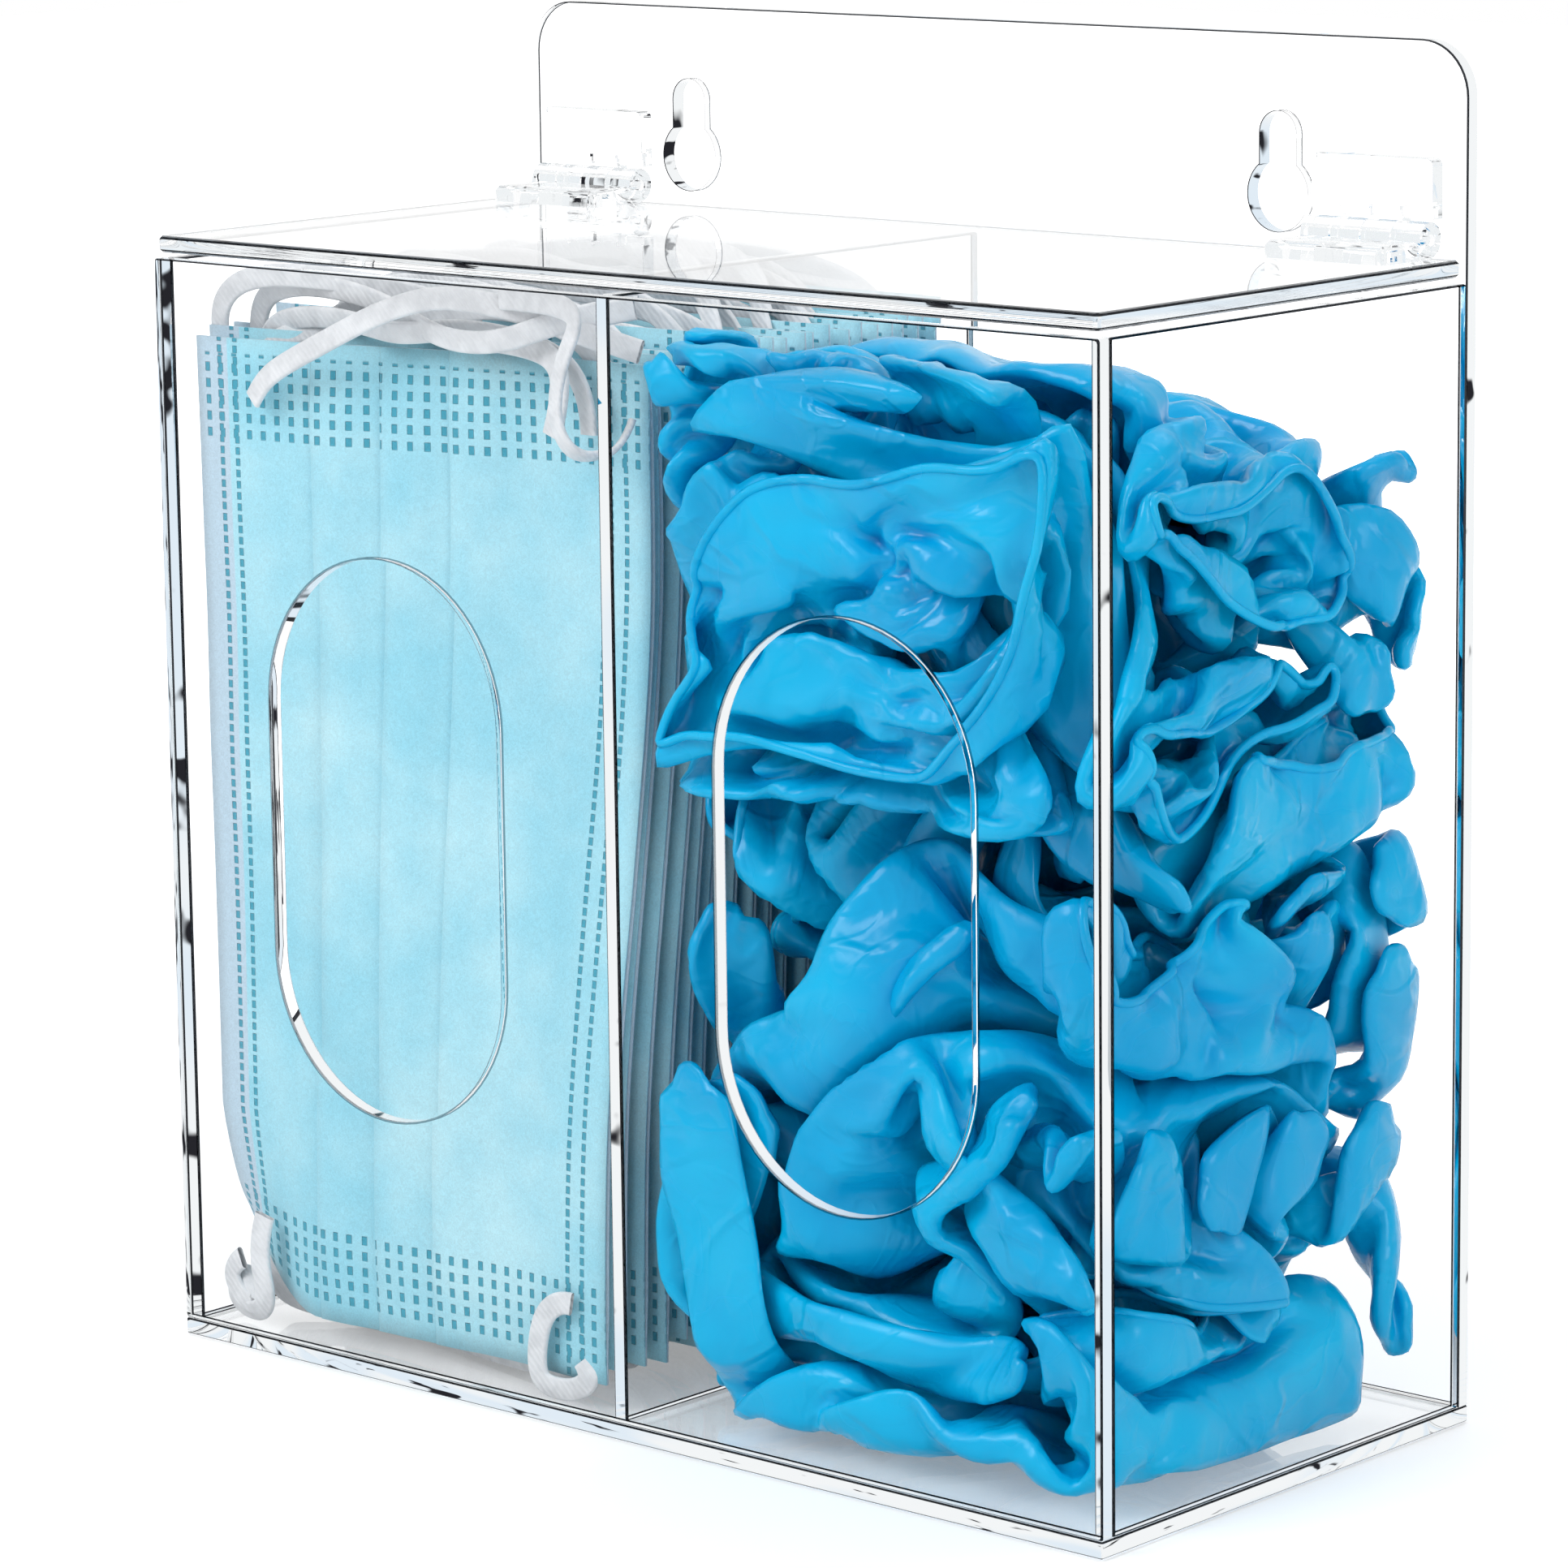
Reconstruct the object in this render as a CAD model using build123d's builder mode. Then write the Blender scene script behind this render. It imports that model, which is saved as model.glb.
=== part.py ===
# Clear acrylic wall dispenser with two compartments, one loaded with face masks and one with gloves.
# The origin is under the middle of the base plate. +X runs to the right along the front, +Y to the wall
# that it hangs on, and +Z up. All lengths are in millimetres.

import os
from math import cos, pi, sin

from build123d import *

os.makedirs("parts", exist_ok=True)

# Acrylic body
sheet = 3.0
body_width = 213.0
body_depth = 100.5
wall_height = 196.0
back_height = 236.0
back_corner = 9.5
edge_break = 0.3
slot_width = 55.0
slot_height = 99.0
slot_centre_height = 97.5

# Keyholes in the back panel
keyhole_spacing = 134.6
keyhole_head_height = 208.7
keyhole_head_radius = 6.3
keyhole_neck_width = 7.6
keyhole_neck_rise = 10.3

# Lid
lid_gap = 1.0
lid_inset = 0.5
lid_back_gap = 0.8
lid_corner = 1.0
lid_edge_break = 0.6

# Hinges
hinge_width = 25.0
hinge_from_side = 17.5
hinge_leaf_length = 13.4
hinge_leaf_thickness = 3.0
hinge_barrel_radius = 3.0
hinge_clearance = 0.15
hinge_knuckle_gap = 0.3
hinge_knuckles = 4
hinge_pin_radius = 0.9
hinge_pin_clearance = 0.05
hinge_pin_recess = 0.8
hinge_notch_width = 0.8
hinge_notch_height = 2.0
hinge_step_height = 4.6
hinge_step_depth = 0.5
hinge_leaf_corner = 1.3
hinge_lip_break = 0.9

# Room that the contents keep from the acrylic and from each other
content_gap = 0.3
front_gap = 1.5

# Face masks
mask_count = 20
mask_width = 95.0
mask_length = 175.0
mask_lift = 4.0
mask_sheet = 1.2
mask_pleat_gap = 0.4
mask_pleat_sheet = 0.9
mask_pleat_overlap = 9.0
mask_pleat_pitch = 16.0
mask_pleats = 3
mask_side_gap = 1.6
mask_fan = 8.0
strap_width = 3.9
strap_thickness = 1.6
strap_anchor_spread = 76.0
strap_anchor_inset = 7.0
strap_rise_low = 3.5
strap_rise_high = 7.0
strap_roundness = 0.6
strap_steps = 4
strap_top_lean = 9.0
strap_bottom_lean = 6.0
strap_rise_turn = 2.4
strap_top_turn = 1.9
strap_bottom_turn = 2.7

# Gloves
glove_top = 189.0
glove_ring_points = 14
glove_levels = 5
glove_crowding = 1.18
glove_squareness = 4
glove_end_share = 0.62
glove_end_inset = 0.03
glove_end_roundness = 0.5
glove_lean = 0.10
glove_lean_turn = 2.9
glove_lean_twist = 3.0
glove_fold_depth = 0.16
glove_fold_turn = 1.7
glove_fold_ripple = 1.3
glove_fold_twist = 4.0
glove_lobes = 3
glove_lobe_depth = 0.22
glove_lobe_turn = 2.1
glove_lobe_twist = 5.0
finger_width = 16.0
finger_thickness = 9.0
finger_taper = 3.0
finger_root = 14.0
finger_rise = 34.0
finger_sides = 8
cuff_bead = 2.4
cuff_mouth_depth = 6.0
cuff_sides = 20

# Places worked out from the sizes above
half_width = body_width / 2
front_face = -body_depth / 2
back_face = body_depth / 2
inner_front = front_face + sheet
inner_back = back_face - sheet
inner_side = half_width - sheet
wall_length = inner_back - inner_front
wall_middle = (inner_front + inner_back) / 2
compartment_centre = (inner_side + sheet / 2) / 2
lid_bottom = wall_height + lid_gap
lid_top = lid_bottom + sheet
lid_front = front_face + lid_inset
lid_back = inner_back - lid_back_gap
axis_y = inner_back - hinge_leaf_thickness - hinge_clearance
axis_z = lid_top + hinge_leaf_thickness + hinge_clearance
hinge_centre = half_width - hinge_from_side
knuckle_pitch = hinge_width / hinge_knuckles
knuckle_relief = hinge_barrel_radius + hinge_clearance * 2


def save(part, label):
    """Labels a finished piece and writes it to its own file."""
    part.label = label
    export_step(part, f"parts/{label}.step")


# Base plate, the full width and depth, which every wall stands on
with BuildPart() as base_plate:
    with BuildSketch():
        Rectangle(body_width, body_depth)
    extrude(amount=sheet)
    chamfer(base_plate.edges(), edge_break)
base_plate.part.label = "base_plate"
export_step(base_plate.part, "parts/base_plate.step")

# Front panel with one upright dispensing slot for each compartment
with BuildPart() as front_panel:
    with BuildSketch(Plane.XZ.offset(-inner_front)):
        with Locations((0, (sheet + wall_height) / 2)):
            Rectangle(body_width, wall_height - sheet)
        with Locations((-compartment_centre, slot_centre_height), (compartment_centre, slot_centre_height)):
            SlotOverall(slot_height, slot_width, rotation=90, mode=Mode.SUBTRACT)
    extrude(amount=sheet)
    chamfer(front_panel.faces().sort_by(Axis.Y)[0].outer_wire().edges(), edge_break)
front_panel.part.label = "front_panel"
export_step(front_panel.part, "parts/front_panel.step")

# Back panel, taller than the box, with rounded top corners and two keyholes to hang it by
with BuildPart() as back_panel:
    with BuildSketch(Plane.XZ.offset(-back_face)) as back_outline:
        with Locations((0, (sheet + back_height) / 2)):
            Rectangle(body_width, back_height - sheet)
        fillet(back_outline.vertices().group_by(Axis.Y)[-1], back_corner)
        for keyhole_x in (-keyhole_spacing / 2, keyhole_spacing / 2):
            with Locations((keyhole_x, keyhole_head_height)):
                Circle(keyhole_head_radius, mode=Mode.SUBTRACT)
            with Locations((keyhole_x, keyhole_head_height + keyhole_neck_rise / 2)):
                SlotCenterToCenter(keyhole_neck_rise, keyhole_neck_width, rotation=90, mode=Mode.SUBTRACT)
    extrude(amount=sheet)
    back_rims = [face.outer_wire().edges() for face in back_panel.faces().filter_by(Axis.Y)]
    chamfer(back_rims[0] + back_rims[1], edge_break)
back_panel.part.label = "back_panel"
export_step(back_panel.part, "parts/back_panel.step")

# Side walls and divider, which stand between the front and back panels
upright_walls = {
    "left_wall": -(half_width - sheet / 2),
    "divider": 0.0,
    "right_wall": half_width - sheet / 2,
}
for wall_name, wall_x in upright_walls.items():
    with BuildPart() as upright_wall:
        with BuildSketch(Plane.XY.offset(sheet)):
            with Locations((wall_x, wall_middle)):
                Rectangle(sheet, wall_length)
        extrude(amount=wall_height - sheet)
    save(upright_wall.part, wall_name)

# Lid, a flat sheet with eased edges that clears the wall tops
with BuildPart() as lid:
    with BuildSketch(Plane.XY.offset(lid_bottom)) as lid_outline:
        with Locations((0, (lid_front + lid_back) / 2)):
            Rectangle(body_width - lid_inset * 2, lid_back - lid_front)
        fillet(lid_outline.vertices(), lid_corner)
    extrude(amount=sheet)
    lid_rims = lid.faces().sort_by(Axis.Z)[-1].edges() + lid.faces().sort_by(Axis.Z)[0].edges()
    chamfer(lid_rims, lid_edge_break)
lid.part.label = "lid"
export_step(lid.part, "parts/lid.step")


def knuckle_start(hinge_x, index):
    """The left side of one knuckle's share of the barrel, or its middle at an index and a half."""
    return hinge_x - hinge_width / 2 + index * knuckle_pitch


def barrel_plane(x):
    """A plane across the hinge barrel at x, with its origin on the hinge axis."""
    return Plane(origin=(x, axis_y, axis_z), x_dir=(0, 1, 0), z_dir=(1, 0, 0))


def knuckle_row(hinge_x, indexes):
    """The barrel pieces that one leaf carries."""
    with BuildPart() as row:
        for index in indexes:
            with BuildSketch(barrel_plane(knuckle_start(hinge_x, index) + hinge_knuckle_gap / 2)):
                Circle(hinge_barrel_radius)
            extrude(amount=knuckle_pitch - hinge_knuckle_gap)
    return row.part


def pin_bore(hinge_x):
    """The hole for the pin, the whole width of the hinge."""
    with BuildPart() as bore:
        with BuildSketch(barrel_plane(hinge_x - hinge_width / 2)):
            Circle(hinge_pin_radius + hinge_pin_clearance)
        extrude(amount=hinge_width)
    return bore.part


wall_knuckles = range(0, hinge_knuckles, 2)
lid_knuckles = range(1, hinge_knuckles, 2)

for side, hinge_x in {"left": -hinge_centre, "right": hinge_centre}.items():
    # Leaf on the back panel: a thick pad with a stepped foot, cut back over the other leaf's knuckles
    with BuildPart() as wall_leaf:
        with BuildSketch(Plane.XZ.offset(-inner_back)) as pad_outline:
            with Locations((hinge_x, axis_z + hinge_leaf_length / 2)):
                Rectangle(hinge_width, hinge_leaf_length)
            fillet(pad_outline.vertices().group_by(Axis.Y)[-1], hinge_leaf_corner)
            for index in lid_knuckles:
                knuckle_middle = knuckle_start(hinge_x, index + 0.5)
                with Locations((knuckle_middle, axis_z + knuckle_relief / 2)):
                    Rectangle(knuckle_pitch + hinge_knuckle_gap, knuckle_relief, mode=Mode.SUBTRACT)
            notch_middle = axis_z + knuckle_relief + hinge_notch_height / 2
            for index in range(1, hinge_knuckles):
                with Locations((knuckle_start(hinge_x, index), notch_middle)):
                    Rectangle(hinge_notch_width, hinge_notch_height, mode=Mode.SUBTRACT)
        extrude(amount=hinge_leaf_thickness)
        pad_rim = wall_leaf.faces().sort_by(Axis.Y)[0].edges().filter_by(Axis.X).sort_by(Axis.Z)[-1]
        chamfer(pad_rim, edge_break)
        with BuildSketch(Plane.XZ.offset(-(inner_back - hinge_leaf_thickness))):
            with Locations((hinge_x, axis_z + hinge_step_height / 2)):
                Rectangle(hinge_width, hinge_step_height)
        extrude(amount=-hinge_step_depth, mode=Mode.SUBTRACT)
        add(knuckle_row(hinge_x, wall_knuckles))
        add(pin_bore(hinge_x), mode=Mode.SUBTRACT)
    save(wall_leaf.part, f"hinge_{side}_wall_leaf")

    # Leaf on the lid: a flat pad with a bevelled lip, cut back round the other leaf's knuckles
    with BuildPart() as lid_leaf:
        with BuildSketch(Plane.XY.offset(lid_top)) as pad_outline:
            with Locations((hinge_x, axis_y - hinge_leaf_length / 2)):
                Rectangle(hinge_width, hinge_leaf_length)
            fillet(pad_outline.vertices().group_by(Axis.Y)[0], hinge_leaf_corner)
            for index in wall_knuckles:
                knuckle_middle = knuckle_start(hinge_x, index + 0.5)
                with Locations((knuckle_middle, axis_y - knuckle_relief / 2)):
                    Rectangle(knuckle_pitch + hinge_knuckle_gap, knuckle_relief, mode=Mode.SUBTRACT)
        extrude(amount=hinge_leaf_thickness)
        lip_edge = lid_leaf.faces().sort_by(Axis.Z)[-1].edges().filter_by(Axis.X).sort_by(Axis.Y)[0]
        chamfer(lip_edge, hinge_lip_break)
        add(knuckle_row(hinge_x, lid_knuckles))
        add(pin_bore(hinge_x), mode=Mode.SUBTRACT)
    save(lid_leaf.part, f"hinge_{side}_lid_leaf")

    # Pin that joins the two leaves, a little shorter than the barrel
    with BuildPart() as hinge_pin:
        with BuildSketch(barrel_plane(hinge_x - hinge_width / 2 + hinge_pin_recess)):
            Circle(hinge_pin_radius)
        extrude(amount=hinge_width - hinge_pin_recess * 2)
    save(hinge_pin.part, f"hinge_{side}_pin")


def pleated_section():
    """Section across a mask: a flat ply with overlapping pleats folded on its front."""
    ledge = mask_sheet + mask_pleat_gap
    ridge = ledge + mask_pleat_sheet
    points = [(-mask_width / 2, 0), (mask_width / 2, 0), (mask_width / 2, mask_sheet)]
    for index in reversed(range(mask_pleats)):
        fold = (index - (mask_pleats - 1) / 2) * mask_pleat_pitch + mask_pleat_overlap / 2
        points += [
            (fold, mask_sheet),
            (fold, ridge),
            (fold - mask_pleat_overlap, ridge),
            (fold - mask_pleat_overlap, ledge),
            (fold - mask_pleat_sheet, ledge),
            (fold - mask_pleat_sheet, mask_sheet),
        ]
    return points + [(-mask_width / 2, mask_sheet)]


def band_outline(route, width):
    """Closed outline of a flat band of one width along a route of points."""
    upper = []
    lower = []
    for index, point in enumerate(route):
        before = route[max(index - 1, 0)]
        after = route[min(index + 1, len(route) - 1)]
        along = Vector(after[0] - before[0], after[1] - before[1]).normalized()
        upper.append((point[0] - along.Y * width / 2, point[1] + along.X * width / 2))
        lower.append((point[0] + along.Y * width / 2, point[1] - along.X * width / 2))
    return upper + lower[::-1]


def strap_route(anchor, rise, lean):
    """Route of an ear loop from one corner of the mask over to the other."""
    route = []
    for step in range(strap_steps + 1):
        share = step / strap_steps
        across = (share - 0.5) * strap_anchor_spread
        swell = sin(pi * share)
        route.append((across + lean * swell, anchor + rise * swell ** strap_roundness))
    return route


mask_floor = sheet + mask_lift
mask_depth = mask_sheet + mask_pleat_gap + mask_pleat_sheet
mask_centre = -(inner_side - mask_side_gap - mask_width / 2)
mask_first = inner_front + front_gap + mask_depth
mask_last = inner_back - content_gap * 2
mask_pitch = (mask_last - mask_first) / (mask_count - 1)

# Masks, standing on end, pleats upright, the front ones turned a little so that the stack fans
for number in range(1, mask_count + 1):
    share = (number - 1) / (mask_count - 1)
    lag = mask_fan * (1 - share)
    turn = Vector(mask_width, lag, 0).normalized()
    seat = (mask_centre, mask_first + mask_pitch * (number - 1) + lag / 2, mask_floor)
    profile_plane = Plane(origin=seat, x_dir=(-turn.X, -turn.Y, 0), z_dir=(0, 0, 1))
    strap_plane = Plane(origin=seat, x_dir=(turn.X, turn.Y, 0), z_dir=(turn.Y, -turn.X, 0))
    top_rise = strap_rise_low + (strap_rise_high - strap_rise_low) * (1 + cos(number * strap_rise_turn)) / 2
    top_lean = strap_top_lean * sin(number * strap_top_turn)
    bottom_drop = mask_lift + strap_anchor_inset - content_gap - strap_width / 2
    bottom_lean = strap_bottom_lean * sin(number * strap_bottom_turn)
    with BuildPart() as mask:
        with BuildSketch(profile_plane):
            with BuildLine():
                Polyline(*pleated_section(), close=True)
            make_face()
        extrude(amount=mask_length)
        with BuildSketch(strap_plane):
            top_route = strap_route(mask_length - strap_anchor_inset, top_rise + strap_anchor_inset, top_lean)
            bottom_route = strap_route(strap_anchor_inset, -bottom_drop, bottom_lean)
            for route in (top_route, bottom_route):
                Polygon(*band_outline(route, strap_width))
        extrude(amount=strap_thickness)
    save(mask.part, f"mask_{number:02d}")


# Gloves, crumpled into the right compartment. Each row gives a glove's share of the compartment as
# left, right, front, back, bottom and top.
glove_shares = [
    (0.00, 0.53, 0.00, 0.49, 0.00, 0.31),
    (0.53, 1.00, 0.00, 0.49, 0.00, 0.37),
    (0.00, 0.47, 0.00, 0.49, 0.31, 0.60),
    (0.47, 1.00, 0.00, 0.49, 0.37, 0.60),
    (0.00, 0.77, 0.00, 0.49, 0.60, 1.00),
    (0.77, 1.00, 0.00, 0.49, 0.60, 0.96),
    (0.00, 0.46, 0.49, 1.00, 0.00, 0.34),
    (0.46, 1.00, 0.49, 1.00, 0.00, 0.30),
    (0.00, 0.55, 0.49, 1.00, 0.34, 0.63),
    (0.55, 1.00, 0.49, 1.00, 0.30, 0.58),
    (0.00, 0.52, 0.49, 1.00, 0.63, 0.98),
    (0.52, 1.00, 0.49, 1.00, 0.58, 1.00),
]
cuffed_gloves = {2: 0.40, 5: 0.47}
fingered_gloves = {6: [(0.50, 0.30, 70), (0.50, 0.72, 20)], 12: [(0.25, 0.35, 40), (0.72, 0.60, -30)]}
room_low = (sheet / 2 + content_gap, inner_front + front_gap, sheet + content_gap)
room_high = (inner_side - content_gap, inner_back - content_gap, glove_top)


def room_point(shares, margin):
    """A point of the right compartment from its share of the width, depth and height, moved by a margin."""
    return [low + (high - low) * share + margin for low, high, share in zip(room_low, room_high, shares)]


def gathered_ring(low, high, share, number):
    """Gathered outline across a crumpled glove at one height, pressed flat where it meets its neighbours."""
    swell = glove_end_share + (1 - glove_end_share) * sin(pi * share) ** glove_end_roundness
    lean = glove_lean * sin(number * glove_lean_turn + share * glove_lean_twist)
    half = [(high[axis] - low[axis]) / 2 for axis in range(2)]
    ring = []
    for index in range(glove_ring_points):
        angle = 2 * pi * (index + share / 2) / glove_ring_points
        squared = cos(angle) ** glove_squareness + sin(angle) ** glove_squareness
        box_reach = squared ** (-1 / glove_squareness)
        fold_wave = sin(number * glove_fold_turn + index * glove_fold_ripple + share * glove_fold_twist)
        fold = glove_fold_depth * (index % 2) * (1 + fold_wave / 2)
        lobe_wave = sin(glove_lobes * angle + number * glove_lobe_turn + share * glove_lobe_twist)
        lobe = glove_lobe_depth * (1 + lobe_wave) / 2
        reach = glove_crowding * box_reach * swell * (1 - fold - lobe)
        across = half[0] * max(-1, min(1, reach * cos(angle) + lean))
        deep = half[1] * max(-1, min(1, reach * sin(angle) - lean))
        ring.append((low[0] + half[0] + across, low[1] + half[1] + deep, low[2] + (high[2] - low[2]) * share))
    return ring


def crumpled_body(low, high, number):
    """Closed body of flat creased facets between the rings of one glove."""
    middle = [(low[axis] + high[axis]) / 2 for axis in range(2)]
    rings = []
    for level in range(glove_levels + 1):
        share = glove_end_inset + (1 - 2 * glove_end_inset) * level / glove_levels
        rings.append(gathered_ring(low, high, share, number))
    facets = []
    for level, (lower, upper) in enumerate(zip(rings, rings[1:])):
        for index in range(glove_ring_points):
            following = (index + 1) % glove_ring_points
            corners = [lower[index], lower[following], upper[following], upper[index]]
            if (index + level) % 2:
                corners = corners[1:] + corners[:1]
            facets.append([corners[0], corners[1], corners[2]])
            facets.append([corners[0], corners[2], corners[3]])
    for ring, height in ((rings[0], low[2]), (rings[-1], high[2])):
        crown = (middle[0], middle[1], height)
        for index in range(glove_ring_points):
            facets.append([ring[index], ring[(index + 1) % glove_ring_points], crown])
    return Solid(Shell([Face(Wire.make_polygon(facet)) for facet in facets]))


def oval(across, tall, sides):
    """Many-sided oval of a cuff's rim or a flattened finger, as points about its middle."""
    turns = [2 * pi * index / sides for index in range(sides)]
    return [(across * cos(turn), tall * sin(turn)) for turn in turns]


for number, shares in enumerate(glove_shares, start=1):
    low = room_point(shares[0::2], content_gap)
    high = room_point(shares[1::2], -content_gap)
    middle = Vector(*[(a + b) / 2 for a, b in zip(low, high)])
    with BuildPart() as glove:
        palm_top = high[2] - finger_rise if number in fingered_gloves else high[2]
        add(crumpled_body(low, (high[0], high[1], palm_top), number))
        for share_x, share_y, turn in fingered_gloves.get(number, []):
            root_x = low[0] + (high[0] - low[0]) * share_x
            root_y = low[1] + (high[1] - low[1]) * share_y
            with BuildSketch(Plane(origin=(root_x, root_y, palm_top - finger_root)).rotated((0, 0, turn))):
                Polygon(*oval(finger_width / 2, finger_thickness / 2, finger_sides))
            extrude(amount=finger_root + finger_rise, taper=finger_taper)
        if number in cuffed_gloves:
            rim_plane = Plane(origin=(middle.X, low[1], middle.Z), x_dir=(1, 0, 0), z_dir=(0, -1, 0))
            rim_x = (high[0] - low[0]) * cuffed_gloves[number]
            rim_z = (high[2] - low[2]) * cuffed_gloves[number]
            with BuildSketch(rim_plane):
                Polygon(*oval(rim_x, rim_z, cuff_sides))
            extrude(amount=-cuff_bead)
            with BuildSketch(rim_plane):
                Polygon(*oval(rim_x - cuff_bead, rim_z - cuff_bead, cuff_sides))
            extrude(amount=-cuff_mouth_depth, mode=Mode.SUBTRACT)
    save(glove.part, f"glove_{number:02d}")
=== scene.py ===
# Clear acrylic wall dispenser, loaded with pleated face masks and crumpled gloves
import math
import random

import bmesh
import bpy
from mathutils import Euler, Matrix, Vector, noise


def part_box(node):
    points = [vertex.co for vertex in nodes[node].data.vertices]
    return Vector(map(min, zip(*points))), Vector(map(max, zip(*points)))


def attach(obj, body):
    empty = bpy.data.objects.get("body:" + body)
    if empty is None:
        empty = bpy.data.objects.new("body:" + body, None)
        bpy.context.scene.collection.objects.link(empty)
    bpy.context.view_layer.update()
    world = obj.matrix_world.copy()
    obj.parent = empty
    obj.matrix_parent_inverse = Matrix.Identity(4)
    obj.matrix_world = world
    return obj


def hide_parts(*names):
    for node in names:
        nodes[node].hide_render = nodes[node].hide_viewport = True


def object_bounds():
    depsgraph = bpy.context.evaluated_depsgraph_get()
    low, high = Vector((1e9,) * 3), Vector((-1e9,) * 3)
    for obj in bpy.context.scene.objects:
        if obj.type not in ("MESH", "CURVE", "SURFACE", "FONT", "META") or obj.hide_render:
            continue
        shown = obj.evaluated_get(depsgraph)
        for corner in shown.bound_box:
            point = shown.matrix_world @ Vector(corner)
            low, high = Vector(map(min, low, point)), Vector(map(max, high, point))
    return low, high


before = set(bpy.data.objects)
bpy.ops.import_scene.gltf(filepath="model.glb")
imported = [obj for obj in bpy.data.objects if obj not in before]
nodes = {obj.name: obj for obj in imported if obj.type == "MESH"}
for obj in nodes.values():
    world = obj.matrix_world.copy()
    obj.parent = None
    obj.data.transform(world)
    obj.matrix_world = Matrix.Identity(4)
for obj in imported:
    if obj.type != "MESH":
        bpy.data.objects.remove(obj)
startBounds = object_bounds()
scene = bpy.context.scene
mm = 0.001


def newObject(name, bm, material=None):
    mesh = bpy.data.meshes.new(name)
    bm.to_mesh(mesh)
    bm.free()
    piece = bpy.data.objects.new(name, mesh)
    scene.collection.objects.link(piece)
    if material:
        mesh.materials.append(material)
    return piece


def smoothShade(piece):
    for polygon in piece.data.polygons:
        polygon.use_smooth = True


def applyModifiers(piece):
    view = bpy.context.evaluated_depsgraph_get()
    done = bpy.data.meshes.new_from_object(piece.evaluated_get(view))
    piece.modifiers.clear()
    old = piece.data
    piece.data = done
    bpy.data.meshes.remove(old)


def easeInOut(t):
    t = max(0.0, min(1.0, t))
    return t * t * (3 - 2 * t)


# Camera, from the photograph's own perspective
cameraSet = {
    "place": (0.7056, -0.79925, 0.3076),
    "yaw": -41.6,
    "pitch": -10.68,
    "roll": -0.716,
    "lens": 143.44,
}


def makeCamera():
    yaw, pitch, roll = (math.radians(cameraSet[key]) for key in ("yaw", "pitch", "roll"))
    ahead = Vector((math.sin(yaw) * math.cos(pitch), math.cos(yaw) * math.cos(pitch), math.sin(pitch)))
    level = Vector((math.cos(yaw), -math.sin(yaw), 0))
    upright = level.cross(ahead)
    right = level * math.cos(roll) + upright * math.sin(roll)
    up = upright * math.cos(roll) - level * math.sin(roll)
    data = bpy.data.cameras.new("camera")
    data.sensor_width = 36
    data.lens = cameraSet["lens"]
    data.clip_start = 0.01
    camera = bpy.data.objects.new("camera", data)
    scene.collection.objects.link(camera)
    turn = Matrix((right, up, -ahead)).transposed().to_4x4()
    camera.matrix_world = Matrix.Translation(cameraSet["place"]) @ turn
    scene.camera = camera


makeCamera()
print("camera done")


# Node helpers
def newMaterial(name):
    material = bpy.data.materials.new(name)
    material.use_nodes = True
    material.cycles.emission_sampling = "NONE"  # only the lamps and the world count as lights
    tree = material.node_tree
    return material, tree, tree.nodes["Principled BSDF"]


def addNode(tree, kind, **settings):
    node = tree.nodes.new(kind)
    for key, value in settings.items():
        setattr(node, key, value)
    return node


def link(tree, source, target):
    tree.links.new(source, target)


def maths(tree, operation, first, second=None, clamp=False):
    node = addNode(tree, "ShaderNodeMath", operation=operation, use_clamp=clamp)
    for socket, value in zip(node.inputs, (first, second)):
        if value is None:
            continue
        if isinstance(value, (int, float)):
            socket.default_value = value
        else:
            link(tree, value, socket)
    return node.outputs[0]


def mixColour(tree, factor, first, second, blend="MIX"):
    node = addNode(tree, "ShaderNodeMix", data_type="RGBA", blend_type=blend)
    for socket, value in ((node.inputs[0], factor), (node.inputs[6], first), (node.inputs[7], second)):
        if isinstance(value, (int, float, tuple)):
            socket.default_value = value
        else:
            link(tree, value, socket)
    return node.outputs[2]


def ramp(tree, value, low, high, outLow=0.0, outHigh=1.0):
    node = addNode(tree, "ShaderNodeMapRange", interpolation_type="SMOOTHSTEP")
    link(tree, value, node.inputs[0])
    for index, number in enumerate((low, high, outLow, outHigh), start=1):
        node.inputs[index].default_value = number
    return node.outputs[0]


def noiseOn(tree, vector, scale, detail=2.0, roughness=0.5, distortion=0.0):
    node = addNode(tree, "ShaderNodeTexNoise")
    link(tree, vector, node.inputs["Vector"])
    node.inputs["Scale"].default_value = scale
    node.inputs["Detail"].default_value = detail
    node.inputs["Roughness"].default_value = roughness
    node.inputs["Distortion"].default_value = distortion
    return node.outputs["Fac"]


def bump(tree, height, strength, distance, normal=None):
    node = addNode(tree, "ShaderNodeBump")
    node.inputs["Strength"].default_value = strength
    node.inputs["Distance"].default_value = distance
    link(tree, height, node.inputs["Height"])
    if normal:
        link(tree, normal, node.inputs["Normal"])
    return node.outputs["Normal"]


def makeGroup(name, inputs, outputs):
    group = bpy.data.node_groups.new(name, "ShaderNodeTree")
    for label, kind, value in inputs:
        socket = group.interface.new_socket(name=label, in_out="INPUT", socket_type=kind)
        if value is not None:
            socket.default_value = value
    for label, kind in outputs:
        group.interface.new_socket(name=label, in_out="OUTPUT", socket_type=kind)
    entry = group.nodes.new("NodeGroupInput")
    leave = group.nodes.new("NodeGroupOutput")
    return group, entry, leave


def useGroup(tree, group, **values):
    node = addNode(tree, "ShaderNodeGroup", node_tree=group)
    for label, value in values.items():
        socket = node.inputs[label.replace("_", " ")]
        if isinstance(value, (int, float, tuple)):
            socket.default_value = value
        else:
            link(tree, value, socket)
    return node


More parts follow.
